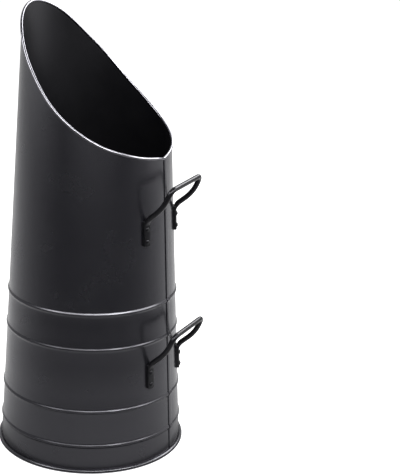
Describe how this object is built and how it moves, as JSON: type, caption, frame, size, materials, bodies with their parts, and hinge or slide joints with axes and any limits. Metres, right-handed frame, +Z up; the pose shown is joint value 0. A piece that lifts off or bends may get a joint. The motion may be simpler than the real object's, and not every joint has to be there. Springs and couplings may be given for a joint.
{
  "type": "coal scuttle",
  "caption": "Tall tapered sheet steel coal scuttle with a scooped mouth, rolled rim, seamed base pan and bent bar handles riveted up its back.",
  "frame": {"origin": "middle of the foot, on the floor", "axes": "+Z up the scuttle's axis, +Y towards the handles, the lock seam and the low rear lip, -Y towards the high front lip, +X to the right when looking from the front lip towards the handles, which is the left seen from behind the handles"},
  "size_m": [0.252, 0.2739, 0.5911],
  "materials": {
    "black_coat": "satin black powder coat on sheet steel",
    "bare_steel": "plain drawn steel wire, hidden in the roll"
  },
  "bodies": {
    "root": {"body_shell": "black_coat", "mouth_rolled_rim": "black_coat", "mouth_rim_wire": "bare_steel", "base_pan": "black_coat", "upper_handle": "black_coat", "lower_handle": "black_coat", "upper_rivet_left_top": "black_coat", "upper_rivet_left_bottom": "black_coat", "upper_rivet_right_top": "black_coat", "upper_rivet_right_bottom": "black_coat", "lower_rivet_left_top": "black_coat", "lower_rivet_left_bottom": "black_coat", "lower_rivet_right_top": "black_coat", "lower_rivet_right_bottom": "black_coat"}
  },
  "joints": []
}
